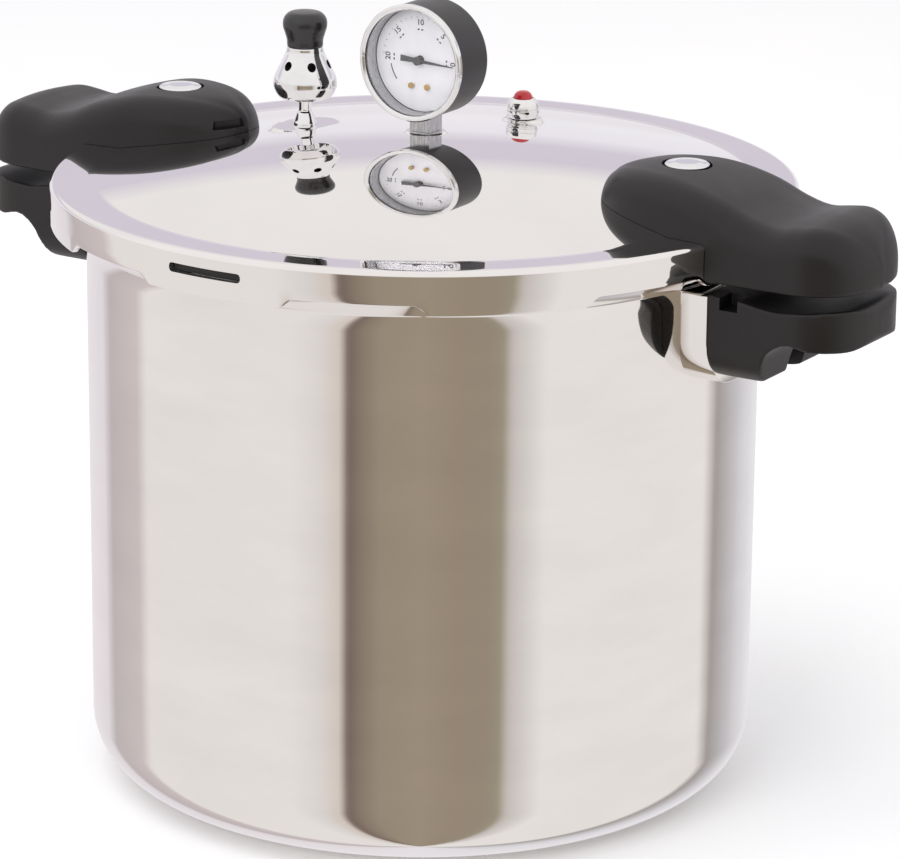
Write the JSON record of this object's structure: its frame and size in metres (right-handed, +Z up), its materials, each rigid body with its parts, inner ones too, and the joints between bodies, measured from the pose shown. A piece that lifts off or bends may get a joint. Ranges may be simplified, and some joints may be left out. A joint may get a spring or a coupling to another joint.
{
  "type": "pressure canner",
  "caption": "Polished aluminium pressure canner with a bayonet lid, paired side handles, a dial gauge, a lift-off weight, a pressure indicator and a jar rack.",
  "frame": {"origin": "centre of the pot's base, on the surface it stands on", "axes": "+X along the right-hand handles, -Y the front that the gauge faces, +Z up"},
  "size_m": [0.48, 0.3496, 0.3637],
  "materials": {
    "polished_aluminium": "mirror polished",
    "satin_aluminium": "satin",
    "black_phenolic": "satin moulded",
    "rubber": "matte",
    "chrome": "polished",
    "steel": "plain",
    "red_plastic": "gloss",
    "black_enamel": "satin",
    "glass": "clear",
    "dial_white": "printed matt",
    "brass": "turned",
    "bronze": "drawn"
  },
  "bodies": {
    "pot": {"pot_body": "polished_aluminium", "boss_left": "polished_aluminium", "boss_right": "polished_aluminium", "lower_handle_left": "black_phenolic", "lower_handle_right": "black_phenolic", "lower_handle_screws": "steel", "lower_handle_washers": "steel"},
    "rack": {"canning_rack": "satin_aluminium"},
    "seal": {"gasket": "rubber"},
    "weight": {"weight_body": "chrome", "weight_knob": "black_phenolic", "weight_stud": "steel"},
    "indicator": {"indicator_pin": "red_plastic", "indicator_seal": "rubber"},
    "needle": {"needle_arbor": "brass", "gauge_needle": "black_enamel"},
    "sector": {"sector_gear": "brass", "sector_shaft": "steel"},
    "link": {"link_bar": "steel"},
    "cover": {"lid": "polished_aluminium", "top_handle_left": "black_phenolic", "top_handle_right": "black_phenolic", "top_handle_screws": "steel", "top_handle_washers": "steel", "top_handle_nuts": "steel", "handle_cap_left": "chrome", "handle_cap_right": "chrome", "vent_pipe": "chrome", "vent_washer": "steel", "vent_nut": "steel", "indicator_collar": "chrome", "indicator_nut": "steel", "gauge_socket": "chrome", "gauge_washer": "steel", "gauge_nut": "steel", "gauge_case": "black_enamel", "case_screws": "steel", "gauge_bezel": "chrome", "gauge_lens": "glass", "gauge_dial": "dial_white", "dial_screws": "brass", "dial_posts": "brass", "bourdon_tube": "bronze", "tube_tip": "brass", "movement_back_plate": "brass", "movement_front_plate": "brass", "movement_pillars": "brass", "hairspring": "bronze"}
  },
  "joints": [
    {"name": "lid_lift", "type": "slide", "parent": "pot", "child": "seal", "axis": [0, 0, 1], "range_m": [0, 0.12]},
    {"name": "lid_turn", "type": "hinge", "parent": "seal", "child": "cover", "pos_m": [0, 0, 0.276], "axis": [0, 0, -1], "range_deg": [0, 24]},
    {"name": "rack_lift", "type": "slide", "parent": "pot", "child": "rack", "axis": [0, 0, 1], "range_m": [0, 0.2]},
    {"name": "weight_lift", "type": "slide", "parent": "cover", "child": "weight", "axis": [0, 0, 1], "range_m": [0, 0.03]},
    {"name": "indicator_rise", "type": "slide", "parent": "cover", "child": "indicator", "axis": [0, 0, 1], "range_m": [0, 0.0035]},
    {"name": "sector_turn", "type": "hinge", "parent": "cover", "child": "sector", "pos_m": [-0.00891, 0.029, 0.33048], "axis": [0, 1, 0], "range_deg": [0, 37.5], "stiffness_Nm_per_rad": 0.002},
    {"name": "needle_turn", "type": "hinge", "parent": "cover", "child": "needle", "pos_m": [-0.018, 0.029, 0.33573], "axis": [0, -1, 0], "range_deg": [0, 225]},
    {"name": "link_swing", "type": "hinge", "parent": "sector", "child": "link", "pos_m": [-0.00811, 0.029, 0.33501], "axis": [0, -1, 0], "range_deg": [0, 37.5]}
  ],
  "couplings": [
    {"joint": "needle_turn", "follows": "sector_turn", "ratio": 6},
    {"joint": "link_swing", "follows": "sector_turn", "ratio": 1}
  ]
}
